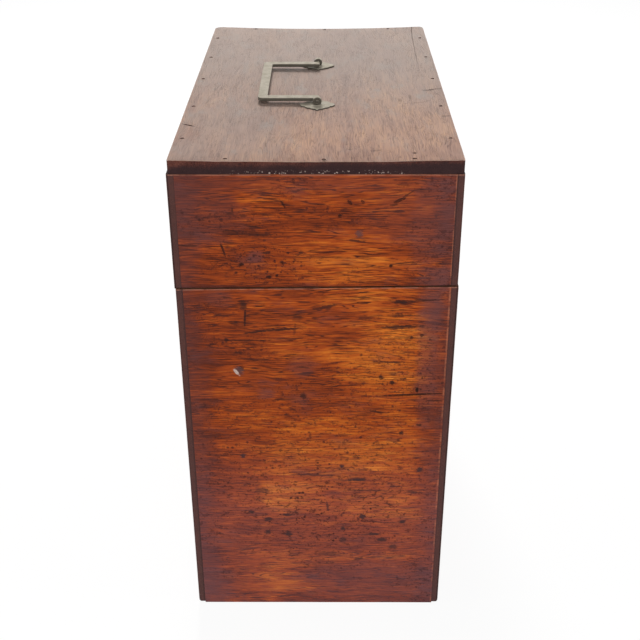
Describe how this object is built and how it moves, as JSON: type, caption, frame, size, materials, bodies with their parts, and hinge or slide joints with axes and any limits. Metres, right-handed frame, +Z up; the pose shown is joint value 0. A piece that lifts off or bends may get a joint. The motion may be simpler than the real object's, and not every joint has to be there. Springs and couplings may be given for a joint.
{
  "type": "decanter box",
  "caption": "Tall rectangular mahogany box with a hinged lid, a link-plate lock, lined cells for decanters and a folding brass bail handle on top.",
  "frame": {"origin": "middle of the underside", "axes": "+Z up; X along the box, -X is the end that the picture shows; +Y is the back with the hinges, -Y the front with the lock"},
  "size_m": [0.276, 0.1555, 0.3026],
  "materials": {
    "wall_mahogany": "old french polish, worn at the edges",
    "inner_mahogany": "bare, dry",
    "top_mahogany": "old polish gone hazy",
    "green_baize": "felted wool, worn",
    "iron": "dark, unpolished",
    "handle_brass": "dull grey-green patina",
    "fitting_brass": "aged, brushed"
  },
  "bodies": {
    "base": {"base_front_board": "wall_mahogany", "base_back_board": "wall_mahogany", "base_left_end": "wall_mahogany", "base_right_end": "wall_mahogany", "bottom_board": "inner_mahogany", "cell_divider": "inner_mahogany", "left_cell_lining": "green_baize", "right_cell_lining": "green_baize", "left_cell_pad": "green_baize", "right_cell_pad": "green_baize", "base_corner_pins": "iron", "bottom_pins": "iron", "lock_drill_pin": "iron", "lock_spring": "iron", "lock_studs": "iron", "left_hinge_base_leaf": "fitting_brass", "right_hinge_base_leaf": "fitting_brass", "left_hinge_pin": "fitting_brass", "right_hinge_pin": "fitting_brass", "base_hinge_screws": "fitting_brass", "lock_case": "fitting_brass", "lock_cap": "fitting_brass", "lock_screws": "fitting_brass", "keyhole_escutcheon": "fitting_brass"},
    "lid": {"top_board": "top_mahogany", "lid_front_board": "wall_mahogany", "lid_back_board": "wall_mahogany", "lid_left_end": "wall_mahogany", "lid_right_end": "wall_mahogany", "lid_corner_pins": "iron", "top_pins": "iron", "lid_lining": "green_baize", "left_hinge_lid_leaf": "fitting_brass", "right_hinge_lid_leaf": "fitting_brass", "lid_hinge_screws": "fitting_brass", "link_plate": "fitting_brass", "link_plate_screws": "fitting_brass", "handle_plate_left": "handle_brass", "handle_plate_right": "handle_brass", "handle_post_left": "handle_brass", "handle_post_right": "handle_brass", "handle_nuts": "handle_brass"},
    "bail": {"handle_bail": "handle_brass"},
    "bolt": {"lock_bolt": "fitting_brass"}
  },
  "joints": [
    {"name": "lid_hinge", "type": "hinge", "parent": "base", "child": "lid", "pos_m": [0, 0.077, 0.2256], "axis": [-1, 0, 0], "range_deg": [0, 180]},
    {"name": "handle_swing", "type": "hinge", "parent": "lid", "child": "bail", "pos_m": [-0.0042, 0, 0.3], "axis": [1, 0, 0], "range_deg": [0, 180]},
    {"name": "bolt_slide", "type": "slide", "parent": "base", "child": "bolt", "axis": [1, 0, 0], "range_m": [0, 0.0047]}
  ]
}
